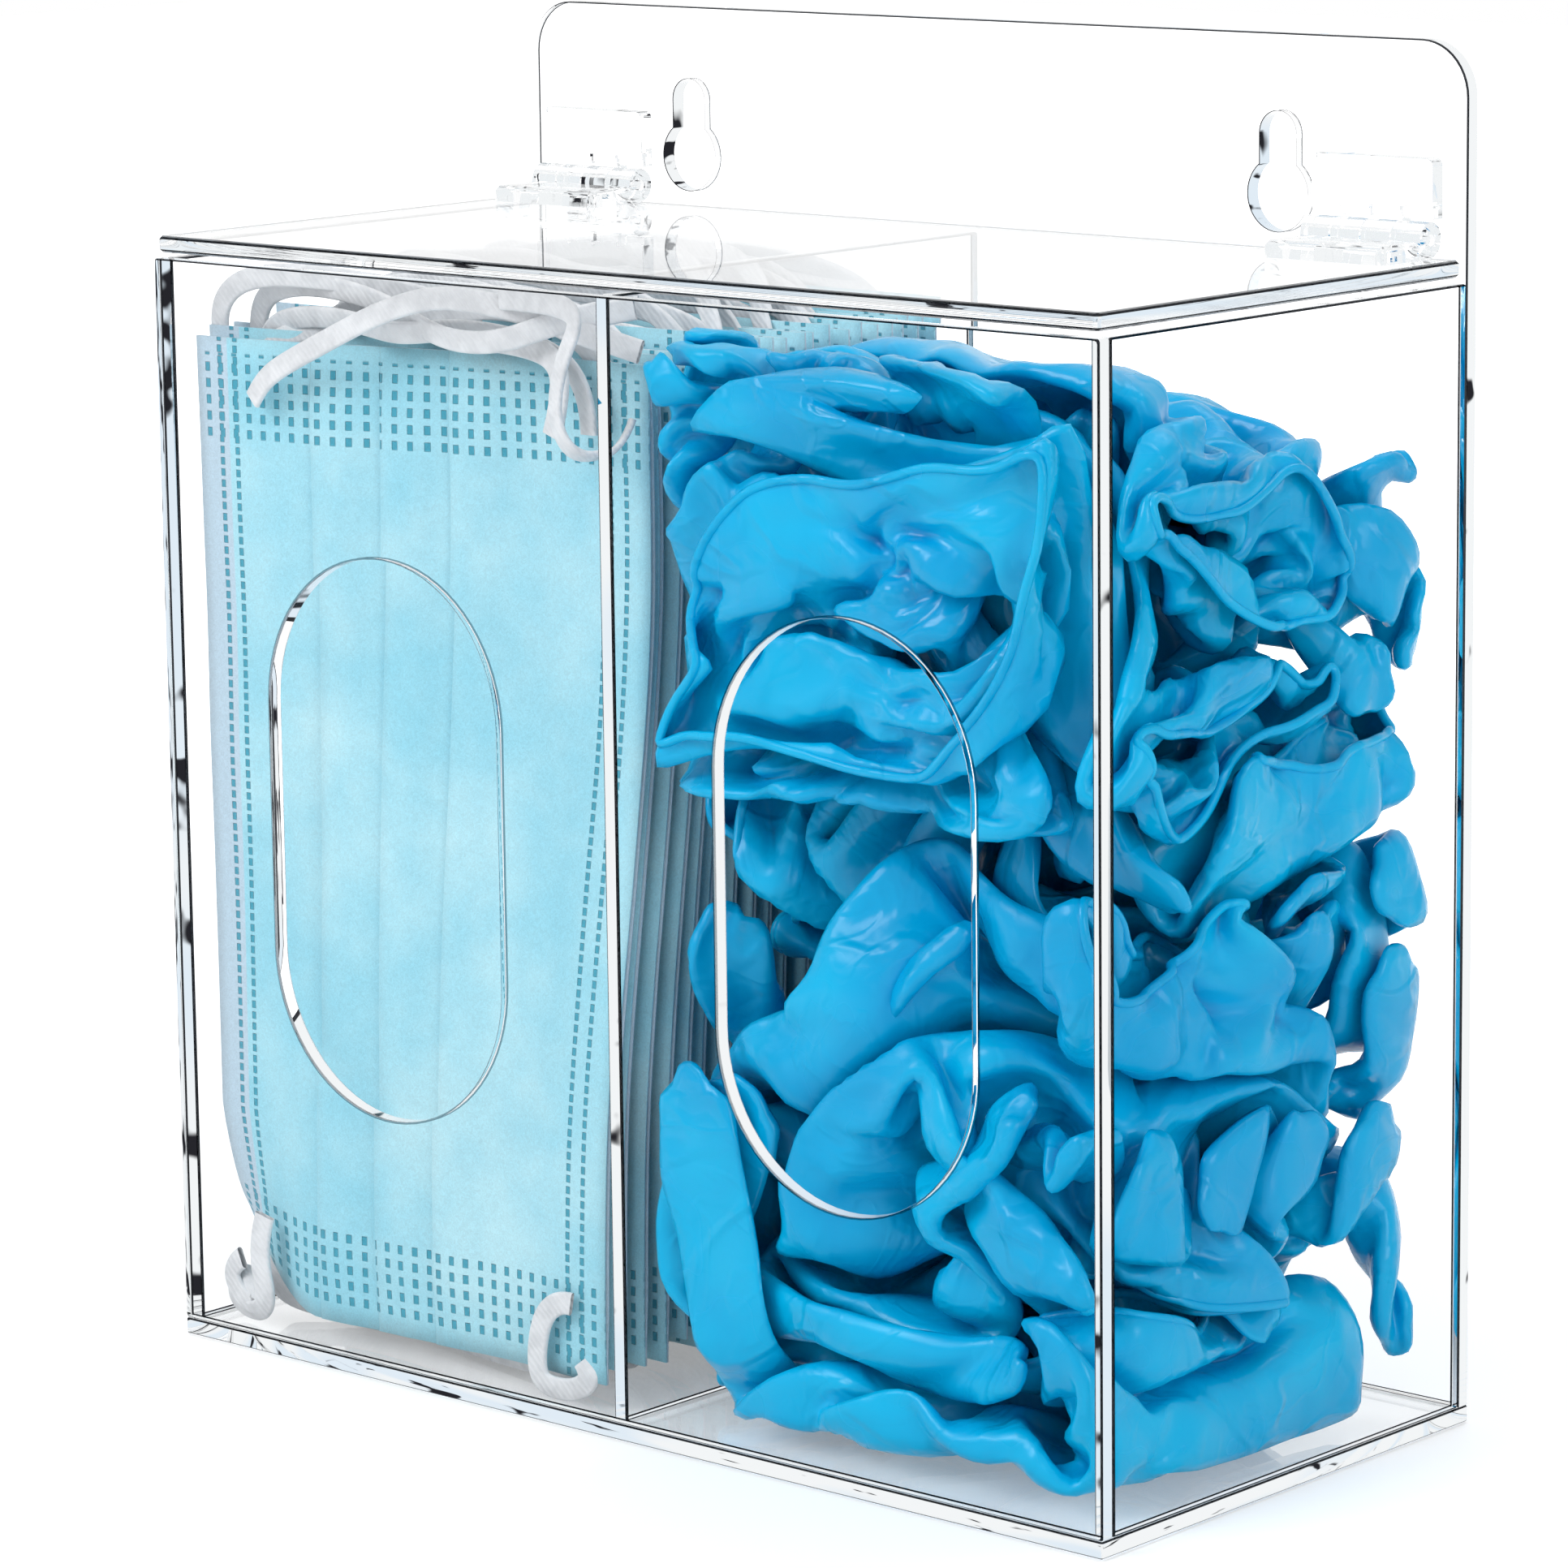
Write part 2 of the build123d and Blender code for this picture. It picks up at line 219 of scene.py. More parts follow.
# Nonwoven fibre and soft mottling, used by both plies of the masks
def makeFibreGroup():
    group, entry, leave = makeGroup(
        "fibre",
        [
            ("Vector", "NodeSocketVector", None),
            ("Fibre Scale", "NodeSocketFloat", 1400.0),
            ("Mottle Scale", "NodeSocketFloat", 60.0),
        ],
        [("Fibre", "NodeSocketFloat"), ("Mottle", "NodeSocketFloat")],
    )
    fine = addNode(group, "ShaderNodeTexNoise")
    fine.inputs["Detail"].default_value = 4
    fine.inputs["Roughness"].default_value = 0.7
    fine.inputs["Distortion"].default_value = 1.5
    link(group, entry.outputs["Vector"], fine.inputs["Vector"])
    link(group, entry.outputs["Fibre Scale"], fine.inputs["Scale"])
    broad = addNode(group, "ShaderNodeTexNoise")
    broad.inputs["Detail"].default_value = 3
    broad.inputs["Roughness"].default_value = 0.6
    link(group, entry.outputs["Vector"], broad.inputs["Vector"])
    link(group, entry.outputs["Mottle Scale"], broad.inputs["Scale"])
    link(group, fine.outputs["Fac"], leave.inputs["Fibre"])
    link(group, broad.outputs["Fac"], leave.inputs["Mottle"])
    return group


# Rows of small pressed dashes, on a map in millimetres
def makeDashGroup():
    group, entry, leave = makeGroup(
        "dashes",
        [
            ("Along", "NodeSocketFloat", 0.0),
            ("Across", "NodeSocketFloat", 0.0),
            ("Pitch Along", "NodeSocketFloat", 3.0),
            ("Pitch Across", "NodeSocketFloat", 3.0),
            ("Half Long", "NodeSocketFloat", 0.25),
            ("Half Wide", "NodeSocketFloat", 0.15),
        ],
        [("Mask", "NodeSocketFloat")],
    )
    sides = []
    for place, pitch, half in (("Along", "Pitch Along", "Half Long"), ("Across", "Pitch Across", "Half Wide")):
        share = maths(group, "DIVIDE", entry.outputs[place], entry.outputs[pitch])
        offset = maths(group, "ABSOLUTE", maths(group, "SUBTRACT", maths(group, "FRACT", share), 0.5))
        gap = maths(group, "SUBTRACT", entry.outputs[half], offset)
        sides.append(ramp(group, gap, -0.03, 0.03))
    link(group, maths(group, "MULTIPLY", sides[0], sides[1]), leave.inputs["Mask"])
    return group


fibreGroup = makeFibreGroup()
dashGroup = makeDashGroup()

# Acrylic and hinge plastic
acrylicLook = {
    "colour": (0.997, 0.999, 1.0, 1),
    # Painted dark reflection on the sheets' eased edges, paler round the dispensing slots
    "paintedEdgeShade": (0.03, 0.032, 0.036, 1),
    "paintedSlotShade": (0.4, 0.43, 0.45, 1),
    "ior": 1.49,
    "trapDepth": 6.5,
    "streakScale": 90,
    "darkShare": (0.63, 0.69),
    "streakReach": (-0.1, -0.03),
    "streakBias": 0.07,
    # Painted glow colours and painted dark streaks for rays deep inside a sheet
    "paintedGlowWhite": (0.9, 0.92, 0.93, 1),
    "paintedGlowBlue": (0.75, 0.84, 0.92, 1),
    "paintedDarkStreak": (0.02, 0.02, 0.025, 1),
    "squareGloss": 0.08,
    "slantGloss": 0.2,
    "hingeColour": (0.99, 0.993, 0.995, 1),
    "hingeRoughness": 0.02,
    "hingeWave": 0.03,
}


# Painted glow in place of light that has travelled far inside a sheet, along to its cut edges: mostly bright, with
# painted dark and blue streaks, the dark ones more often towards the left
def paintedTrappedGlow(tree):
    glow = addNode(tree, "ShaderNodeEmission")
    where = addNode(tree, "ShaderNodeTexCoord").outputs["Object"]
    streak = noiseOn(tree, where, acrylicLook["streakScale"], 2, 0.6)
    parts = addNode(tree, "ShaderNodeSeparateXYZ")
    link(tree, where, parts.inputs[0])
    leftward = ramp(tree, parts.outputs["X"], *acrylicLook["streakReach"], acrylicLook["streakBias"], 0.0)
    dark = ramp(tree, maths(tree, "ADD", streak, leftward), *acrylicLook["darkShare"])
    tint = ramp(tree, noiseOn(tree, where, 17, 1), 0.5, 0.62)
    colour = mixColour(tree, tint, acrylicLook["paintedGlowWhite"], acrylicLook["paintedGlowBlue"])
    colour = mixColour(tree, dark, colour, acrylicLook["paintedDarkStreak"])
    link(tree, colour, glow.inputs["Color"])
    return glow.outputs[0]


# Seen squarely the sheet hardly reflects, as in soft surrounding light, and its full gloss comes at a slant.
# Light goes straight through to what is behind, so that the contents are lit.
def letLightThrough(tree, shader, clearness):
    output = tree.nodes["Material Output"]
    bend = addNode(tree, "ShaderNodeBsdfRefraction")
    bend.inputs["IOR"].default_value = acrylicLook["ior"]
    bend.inputs["Roughness"].default_value = 0
    bend.inputs["Color"].default_value = clearness
    gloss = addNode(tree, "ShaderNodeFresnel")
    gloss.inputs["IOR"].default_value = acrylicLook["ior"]
    slant = ramp(tree, gloss.outputs[0], acrylicLook["squareGloss"], acrylicLook["slantGloss"])
    surface = addNode(tree, "ShaderNodeMixShader")
    link(tree, slant, surface.inputs[0])
    link(tree, bend.outputs[0], surface.inputs[1])
    link(tree, shader.outputs[0], surface.inputs[2])
    path = addNode(tree, "ShaderNodeLightPath")
    # Past the trap depth the sheet shows the painted glow in place of traced light
    trapped = addNode(tree, "ShaderNodeMixShader")
    link(tree, maths(tree, "GREATER_THAN", path.outputs["Ray Depth"], acrylicLook["trapDepth"]), trapped.inputs[0])
    link(tree, surface.outputs[0], trapped.inputs[1])
    link(tree, paintedTrappedGlow(tree), trapped.inputs[2])
    clear = addNode(tree, "ShaderNodeBsdfTransparent")
    clear.inputs["Color"].default_value = clearness
    either = maths(tree, "MAXIMUM", path.outputs["Is Shadow Ray"], path.outputs["Is Diffuse Ray"])
    mix = addNode(tree, "ShaderNodeMixShader")
    link(tree, either, mix.inputs[0])
    link(tree, trapped.outputs[0], mix.inputs[1])
    link(tree, clear.outputs[0], mix.inputs[2])
    link(tree, mix.outputs[0], output.inputs["Surface"])


# The sheet itself, or with a darker colour the thin line of its eased edge, as a painted dark reflection
def makeAcrylic(name, colour):
    material, tree, shader = newMaterial(name)
    shader.inputs["Base Color"].default_value = colour
    shader.inputs["Transmission Weight"].default_value = 1
    shader.inputs["IOR"].default_value = acrylicLook["ior"]
    where = addNode(tree, "ShaderNodeTexCoord").outputs["Object"]
    haze = noiseOn(tree, where, 45, 1)
    link(tree, ramp(tree, haze, 0.55, 0.85, 0.0, 0.02), shader.inputs["Roughness"])
    letLightThrough(tree, shader, colour)
    return material


def makeHingePlastic():
    material, tree, shader = newMaterial("hingePlastic")
    shader.inputs["Base Color"].default_value = acrylicLook["hingeColour"]
    shader.inputs["Transmission Weight"].default_value = 1
    shader.inputs["IOR"].default_value = 1.5
    shader.inputs["Roughness"].default_value = acrylicLook["hingeRoughness"]
    where = addNode(tree, "ShaderNodeTexCoord").outputs["Object"]
    flow = noiseOn(tree, where, 260, 2, 0.4)
    link(tree, bump(tree, flow, acrylicLook["hingeWave"], 0.0008), shader.inputs["Normal"])
    letLightThrough(tree, shader, acrylicLook["hingeColour"])
    return material


acrylic = makeAcrylic("acrylic", acrylicLook["colour"])
# Clear sheet, and two darker copies that carry the painted shade on its edges
edgeShadeAcrylic = makeAcrylic("edgeShadeAcrylic", acrylicLook["paintedEdgeShade"])
slotShadeAcrylic = makeAcrylic("slotShadeAcrylic", acrylicLook["paintedSlotShade"])
hingePlastic = makeHingePlastic()

# Cast sheets: each keeps its solid's form, with polished and slightly eased edges
panelSet = {
    "names": ["base_plate", "front_panel", "back_panel", "left_wall", "divider", "right_wall", "lid"],
    "ease": 0.42 * mm,
    "jointFilm": 0.02 * mm,
    "halfWidth": (startBounds[1].x - startBounds[0].x) / 2,
    "boxTop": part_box("lid")[0].z,
    "slotInset": 12 * mm,
}


# Cut edges round a dispensing slot get a paler painted shade than the sheets' own outlines
def getsPaleSlotShade(name, face):
    middle = face.calc_center_median()
    inset = min(abs(abs(middle.x) - panelSet["halfWidth"]), middle.z, panelSet["boxTop"] - middle.z)
    return name == "front_panel" and inset > panelSet["slotInset"] and abs(middle.x) > panelSet["slotInset"] / 2


# The thin faces between a sheet's broad faces and its cut edges get painted shade, a dark reflection painted on, which
# shows as its outline
def paintEdgeShade(bm, name):
    low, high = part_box(name)
    thin = min(range(3), key=lambda axis: high[axis] - low[axis])
    bm.normal_update()
    for face in bm.faces:
        if 0.2 < abs(face.normal[thin]) < 0.98:
            face.material_index = 2 if getsPaleSlotShade(name, face) else 1


# A merged copy of a solid, with its sharp edges rounded and its flat faces kept flat
def easedCopy(pieceName, name, material, ease, film=0):
    bm = bmesh.new()
    bm.from_mesh(nodes[name].data)
    bmesh.ops.remove_doubles(bm, verts=bm.verts[:], dist=0.002 * mm)
    bmesh.ops.dissolve_limit(bm, angle_limit=math.radians(0.5), verts=bm.verts[:], edges=bm.edges[:])
    sharp = [edge for edge in bm.edges if edge.calc_face_angle(0) > math.radians(60)]
    if ease:
        bmesh.ops.bevel(
            bm, geom=sharp, offset=ease, offset_type="OFFSET", affect="EDGES",
            segments=2, profile=0.5, material=-1, clamp_overlap=True,
        )
    if name in panelSet["names"]:
        paintEdgeShade(bm, name)
    piece = newObject(pieceName, bm, material)
    piece.data.materials.append(edgeShadeAcrylic)
    piece.data.materials.append(slotShadeAcrylic)
    smoothShade(piece)
    piece.data.set_sharp_from_angle(angle=math.radians(50))
    if film:
        inward = piece.modifiers.new("film", "DISPLACE")
        inward.mid_level = 0
        inward.strength = -film
    flat = piece.modifiers.new("flat", "WEIGHTED_NORMAL")
    flat.mode = "FACE_AREA"
    flat.weight = 100
    flat.keep_sharp = True
    applyModifiers(piece)
    return piece


def makePanels():
    for name in panelSet["names"]:
        piece = easedCopy(f"{name}_sheet", name, acrylic, panelSet["ease"], panelSet["jointFilm"])
        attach(piece, "lid" if name == "lid" else "box")
        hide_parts(name)


makePanels()
print("acrylic sheets done")

# Hinges: moulded leaves and pins, with rounded edges
hingeSet = {"edgeRound": 0.2 * mm}


def makeHinges():
    for name in sorted(nodes):
        if not name.startswith("hinge"):
            continue
        ease = 0 if name.endswith("pin") else hingeSet["edgeRound"]
        piece = easedCopy(f"{name}_moulded", name, hingePlastic, ease)
        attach(piece, "lid" if name.endswith("lid_leaf") else "box")
        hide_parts(name)


makeHinges()
print("hinges done")

# Mask cloth: blue outer ply, white inner ply, white elastic
maskLook = {
    "blue": (0.30, 0.71, 0.87, 1),
    "blueLight": (0.56, 0.88, 0.97, 1),
    "weldBlue": (0.02, 0.33, 0.47, 1),
    "white": (0.55, 0.71, 0.84, 1),
    "lining": (0.72, 0.80, 0.88, 1),
    "elastic": (0.72, 0.74, 0.77, 1),
    "elasticLight": (0.84, 0.86, 0.89, 1),
}


# Mask coordinates in millimetres: U across from its middle, V up from its lower end
def maskMap(tree):
    parts = addNode(tree, "ShaderNodeSeparateXYZ")
    link(tree, addNode(tree, "ShaderNodeTexCoord").outputs["UV"], parts.inputs[0])
    return parts.outputs["X"], parts.outputs["Y"]


def weldMask(tree, across, along):
    grid = useGroup(
        tree, dashGroup, Along=along, Across=across,
        Pitch_Along=2.9, Pitch_Across=3.1, Half_Long=0.27, Half_Wide=0.17,
    ).outputs["Mask"]
    fromEnd = maths(tree, "ABSOLUTE", maths(tree, "SUBTRACT", along, 87.5))
    endBand = maths(tree, "MULTIPLY", ramp(tree, fromEnd, 69.5, 70.0), ramp(tree, fromEnd, 84.5, 85.0, 1, 0))
    fromSide = maths(tree, "SUBTRACT", 47.5, maths(tree, "ABSOLUTE", across))
    column = useGroup(
        tree, dashGroup, Along=along, Across=fromSide,
        Pitch_Along=2.0, Pitch_Across=3.6, Half_Long=0.32, Half_Wide=0.13,
    ).outputs["Mask"]
    sideBand = maths(tree, "MULTIPLY", ramp(tree, fromSide, 2.9, 3.1), ramp(tree, fromSide, 10.6, 10.8, 1, 0))
    ends = maths(tree, "MULTIPLY", grid, endBand)
    sides = maths(tree, "MULTIPLY", column, sideBand)
    return maths(tree, "MAXIMUM", ends, sides), fromSide


def makeMaskCloth(name, blue):
    material, tree, shader = newMaterial(name)
    where = addNode(tree, "ShaderNodeTexCoord").outputs["Object"]
    across, along = maskMap(tree)
    fibres = useGroup(tree, fibreGroup, Vector=where, Fibre_Scale=1500.0, Mottle_Scale=38.0)
    welds, fromSide = weldMask(tree, across, along)
    if blue:
        mottle = ramp(tree, fibres.outputs["Mottle"], 0.2, 0.85)
        colour = mixColour(tree, mottle, maskLook["blue"], maskLook["blueLight"])
        hem = ramp(tree, maths(tree, "ADD", across, 47.5), 7.0, 7.4, 1, 0)
        colour = mixColour(tree, maths(tree, "MULTIPLY", hem, 0.95), colour, maskLook["white"])
        colour = mixColour(tree, maths(tree, "MULTIPLY", welds, 0.9), colour, maskLook["weldBlue"])
    else:
        colour = mixColour(tree, maths(tree, "MULTIPLY", welds, 0.35), maskLook["white"], maskLook["blue"])
    grain = ramp(tree, fibres.outputs["Fibre"], 0.3, 0.7, 0.9, 1.06)
    shade = addNode(tree, "ShaderNodeCombineColor")
    for socket in shade.inputs:
        link(tree, grain, socket)
    colour = mixColour(tree, 1.0, colour, shade.outputs[0], "MULTIPLY")
    link(tree, colour, shader.inputs["Base Color"])
    link(tree, ramp(tree, fibres.outputs["Mottle"], 0.3, 0.7, 0.75, 0.9), shader.inputs["Roughness"])
    shader.inputs["Sheen Weight"].default_value = 0.25
    shader.inputs["Sheen Roughness"].default_value = 0.5
    fuzz = bump(tree, fibres.outputs["Fibre"], 0.35, 0.00015)
    soft = bump(tree, fibres.outputs["Mottle"], 0.4, 0.0008, fuzz)
    pressed = bump(tree, maths(tree, "SUBTRACT", 1.0, welds), 0.9, 0.0003, soft)
    link(tree, pressed, shader.inputs["Normal"])
    return material


def makeElastic():
    material, tree, shader = newMaterial("elastic")
    where = addNode(tree, "ShaderNodeTexCoord").outputs["Object"]
    knit = addNode(tree, "ShaderNodeTexWave", wave_type="BANDS", bands_direction="DIAGONAL")
    link(tree, where, knit.inputs["Vector"])
    knit.inputs["Scale"].default_value = 420
    knit.inputs["Distortion"].default_value = 2.5
    knit.inputs["Detail"].default_value = 2
    tone = mixColour(tree, ramp(tree, noiseOn(tree, where, 300), 0.3, 0.7), maskLook["elastic"], maskLook["elasticLight"])
    link(tree, tone, shader.inputs["Base Color"])
    shader.inputs["Roughness"].default_value = 0.7
    shader.inputs["Sheen Weight"].default_value = 0.2
    link(tree, bump(tree, knit.outputs["Fac"], 0.4, 0.0002), shader.inputs["Normal"])
    return material


blueCloth = makeMaskCloth("blueCloth", True)
whiteCloth = makeMaskCloth("whiteCloth", False)
elastic = makeElastic()

# Masks: pleated sheets standing on end
maskSet = {
    "count": 20,
    "width": 95 * mm,
    "length": 175 * mm,
    "pleats": 3,
    "pleatPitch": 14 * mm,
    "pleatOverlap": 7 * mm,
    "pleatStep": 0.32 * mm,
    "rows": 44,
    "plyGap": 0.9 * mm,
    "ruffle": 0.7 * mm,
    "lean": 13 * mm,
    "raised": 3.4 * mm,
    "cornerLift": 16 * mm,
    "cornerBack": 6.4 * mm,
    "rearmost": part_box("back_panel")[0].y - 0.5 * mm,
}


# Folded line across a mask, as pairs of place and height
def pleatLine():
    half = maskSet["width"] / 2
    step = maskSet["pleatStep"]
    line = [(-half, 0.0)]
    for index in range(maskSet["pleats"]):
        fold = (index - 1) * maskSet["pleatPitch"] + maskSet["pleatOverlap"] / 2 - 4 * mm
        back = fold - maskSet["pleatOverlap"]
        line += [(back - 2 * mm, 0), (fold, 0), (fold + 0.2 * mm, step), (fold, 2 * step)]
        line += [(back, 2 * step), (back - 0.2 * mm, 2.6 * step), (back, 3.2 * step), (fold, 3.0 * step)]
        line += [(fold + 2.5 * mm, 1.2 * step)]
    line.append((half, 0.0))
    return line


def fineLine(line, reach):
    fine = [line[0]]
    for start, end in zip(line, line[1:]):
        count = max(1, math.ceil(math.dist(start, end) / reach))
        for step in range(1, count + 1):
            share = step / count
            fine.append(tuple(a + (b - a) * share for a, b in zip(start, end)))
    return fine


def makeMaskSheet(name, number, outer):
    bm = bmesh.new()
    half = maskSet["width"] / 2
    reach = 3.2 * mm
    line = pleatLine() if outer else [(-half, 0.0), (half, 0.0)]
    row = [bm.verts.new((x, -w, 0)) for x, w in fineLine(line, reach)]
    edges = [bm.edges.new(pair) for pair in zip(row, row[1:])]
    rise = maskSet["length"] / maskSet["rows"]
    for index in range(maskSet["rows"]):
        grown = bmesh.ops.extrude_edge_only(bm, edges=edges)["geom"]
        fresh = [item for item in grown if isinstance(item, bmesh.types.BMVert)]
        edges = [item for item in grown if isinstance(item, bmesh.types.BMEdge) and item.verts[0] in fresh]
        edges = [edge for edge in edges if edge.verts[1] in fresh]
        bmesh.ops.translate(bm, verts=fresh, vec=(0, 0, rise))
    bm.normal_update()
    bm.faces.ensure_lookup_table()
    if bm.faces[0].normal.y > 0:
        bmesh.ops.reverse_faces(bm, faces=bm.faces[:])
    uvLayer = bm.loops.layers.uv.new("maskMap")
    for face in bm.faces:
        for loop in face.loops:
            loop[uvLayer].uv = (loop.vert.co.x * 1000, loop.vert.co.z * 1000)
    return bm


# Where a point of a mask lies in the box
def maskPlace(number, co, seat):
    share = (number - 1) / (maskSet["count"] - 1)
    half = maskSet["width"] / 2
    u, v = co.x / half, co.z / maskSet["length"]
    pressed = easeInOut((maskSet["length"] / 2 - abs(co.z - maskSet["length"] / 2)) / (14 * mm))
    depth = co.y * (0.35 + 0.65 * pressed)
    wave = noise.noise(Vector((co.x * 22, co.z * 9, number * 0.13))) * maskSet["ruffle"] * 2.2
    crease = noise.noise(Vector((co.x * 60, co.z * 30, number * 0.2 + 9))) * maskSet["ruffle"] * 0.5
    corner = max(0, 1 - (u + 1) / 0.5) * max(0, 1 - v / 0.2)
    raised = maskSet["raised"] * (0.6 + noise.noise(Vector((number * 1.9, 5.1, 0)))) * min(1, number - 1)
    lean = maskSet["lean"] * easeInOut((u + 1) / 2) * easeInOut(v * 1.15) ** 1.3 * (1 - share) ** 1.5
    side = (2.4 * noise.noise(Vector((number * 0.9, 3.3, 0))) - 0.6) * mm
    spread = noise.noise(Vector((number * 1.3, 7.7, 0)))
    tilt = 1.5 * mm * noise.noise(Vector((number * 2.2, 1.1, 0)))
    x = seat.x + co.x + side + tilt * v
    back = maskSet["cornerBack"] * corner * (1 - share)
    y = min(seat.y + depth + wave + crease + lean + back, maskSet["rearmost"])
    z = seat.z + co.z * (1 + 0.004 * spread) + maskSet["cornerLift"] * corner ** 2 + raised
    return Vector((x, y, z))


def makeMask(number):
    name = f"mask_{number:02d}"
    low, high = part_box(name)
    share = (number - 1) / (maskSet["count"] - 1)
    seat = Vector(((low.x + high.x) / 2, low.y + 1.7 * mm + 0.4 * mm * share, 7 * mm))
    bm = makeMaskSheet(name, number, True)
    for vert in bm.verts:
        vert.co = maskPlace(number, vert.co, seat)
    piece = newObject(f"{name}_cloth", bm, blueCloth)
    back = makeMaskSheet(name, number, False)
    for vert in back.verts:
        spot = vert.co.copy()
        spot.y += maskSet["plyGap"]
        vert.co = maskPlace(number, spot, seat)
    lining = newObject(f"{name}_lining", back, whiteCloth)
    for item in (piece, lining):
        smoothShade(item)
        thick = item.modifiers.new("thick", "SOLIDIFY")
        thick.thickness = 0.32 * mm
        thick.offset = 0
        applyModifiers(item)
        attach(item, "box")
    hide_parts(name)
    return piece


def makeMasks():
    for number in range(1, maskSet["count"] + 1):
        makeMask(number)


makeMasks()
print("masks done")

# Flat elastic ear loops
strapSet = {
    "halfWidth": 1.5 * mm,
    "halfThick": 0.55 * mm,
    "seed": 7,
    "topLow": 183 * mm,
    "topHigh": 194.2 * mm,
}


def makeStrap(name, route, tilts=None):
    data = bpy.data.curves.new(name, "CURVE")
    data.dimensions = "3D"
    data.extrude = strapSet["halfWidth"]
    data.bevel_depth = strapSet["halfThick"]
    data.bevel_resolution = 2
    data.resolution_u = 8
    data.twist_mode = "MINIMUM"
    spline = data.splines.new("NURBS")
    spline.points.add(len(route) - 1)
    for index, point in enumerate(route):
        spline.points[index].co = (*[value * mm for value in point], 1)
        if tilts:
            spline.points[index].tilt = math.radians(tilts[index])
    spline.order_u = 4
    spline.use_endpoint_u = True
    helper = bpy.data.objects.new(name, data)
    scene.collection.objects.link(helper)
    mesh = bpy.data.meshes.new_from_object(helper.evaluated_get(bpy.context.evaluated_depsgraph_get()))
    bpy.data.objects.remove(helper)
    bpy.data.curves.remove(data)
    mesh.name = name
    mesh.materials.clear()
    mesh.materials.append(elastic)
    piece = bpy.data.objects.new(name, mesh)
    scene.collection.objects.link(piece)
    smoothShade(piece)
    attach(piece, "box")
    return piece


# Loops that lie tangled over the tops of the masks
def makeTopStraps():
    rng = random.Random(strapSet["seed"])
    for number in range(2, maskSet["count"] + 1):
        low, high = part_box(f"mask_{number:02d}")
        y = low.y * 1000 + 3
        middle = (low.x + high.x) * 500
        left, right = middle - 36 + rng.uniform(-3, 3), middle + 36 + rng.uniform(-3, 3)
        drift = rng.uniform(-14, 14)
        top = rng.uniform(187, 194)
        route = [(left, y - 1.5, 170), (left + rng.uniform(-4, 3), y - 1.5, 181)]
        for share in (0.12, 0.32, 0.5, 0.68, 0.88):
            x = left + (right - left) * share + rng.uniform(-7, 7)
            z = top - 4 * abs(share - 0.5) + rng.uniform(-3.5, 1)
            route.append((x, y + drift * math.sin(math.pi * share) + rng.uniform(-4, 4), min(z, 194)))
        route += [(right + rng.uniform(-2, 4), y - 1.5, 181), (right, y - 1.5, 170)]
        route = [(x, max(-45.2, min(45.5, py)), z) for x, py, z in route]
        makeStrap(f"ear_loop_top_{number:02d}", route)


def makeLowStraps():
    rng = random.Random(strapSet["seed"] + 1)
    for number in range(2, maskSet["count"] + 1):
        low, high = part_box(f"mask_{number:02d}")
        y = low.y * 1000 + 3
        middle = (low.x + high.x) * 500
        left, right = middle - 36 + rng.uniform(-5, 3), middle + 36 + rng.uniform(-3, 5)
        route = [(left, y - 1.2, 15), (left - 2, y - 1.5, 8)]
        for share in (0.1, 0.35, 0.65, 0.9):
            x = left + (right - left) * share + rng.uniform(-6, 6)
            route.append((x, max(-45, min(45, y + rng.uniform(-5, 5))), rng.uniform(4.8, 6.5)))
        route += [(right + 2, y - 1.5, 8), (right, y - 1.2, 15)]
        makeStrap(f"ear_loop_low_{number:02d}", route)


# The front masks' loops, placed from the photograph
frontStraps = {
    "top_left": [
        (-86.6, -44.5, 172), (-84, -45, 175), (-80.8, -45.2, 177.6), (-69.4, -45.3, 182.6), (-55.2, -45, 189.2),
        (-43.2, -43, 193), (-34.6, -40, 192), (-25.1, -38, 190.5), (-12.9, -36, 187), (-5, -34, 185),
    ],
    "top_right": [
        (-30, -40, 193), (-14, -43, 193.6), (-7, -44.4, 192), (-10.6, -45, 186), (-12.9, -45.2, 179),
        (-13, -45.2, 173.5), (-10.7, -45, 169.1), (-8.3, -42, 167.1), (-6.8, -37, 168.7), (-6.1, -35, 173.7),
    ],
    "top_arc": [
        (-98, -37, 168), (-102, -37, 176), (-102.3, -37.4, 183), (-101, -38, 188), (-96, -38, 192),
        (-86, -38, 193.6), (-72, -36, 193), (-60, -30, 191), (-50, -24, 187),
    ],
    "top_inner_arc": [
        (-94, -33, 170), (-97, -33, 180), (-96, -34, 187), (-90, -35, 191), (-78, -35, 192), (-60, -37, 190),
        (-48, -40, 186), (-38, -41, 184.6), (-26, -41, 186), (-18, -38, 190), (-8, -32, 192),
    ],
    "low_left": [
        (-89.4, -44.6, 24), (-91.6, -45, 17), (-88.5, -45.2, 10), (-90.3, -44.8, 5.6), (-97, -43.5, 5.2),
        (-101.5, -42.5, 7), (-101, -42, 10.5), (-96, -43, 12), (-91.5, -44, 9), (-92.5, -44.5, 6), (-97.5, -44.6, 8.5),
        (-100, -44, 12.5), (-96, -44.2, 15),
    ],
    "low_right": [
        (-13.6, -44.6, 20.6), (-15.5, -45.1, 20.9), (-18.6, -45.2, 19.4), (-20.8, -45.2, 15.5), (-21.8, -45.2, 9),
        (-20.9, -45, 5.4), (-17, -44.6, 4.8), (-12.4, -44, 5.2), (-9.7, -43.5, 8), (-12.4, -43, 10.4),
    ],
}


def makeFrontStraps():
    for place, route in frontStraps.items():
        makeStrap(f"front_loop_{place}", route)


makeTopStraps()
makeLowStraps()
makeFrontStraps()
print("ear loops done")

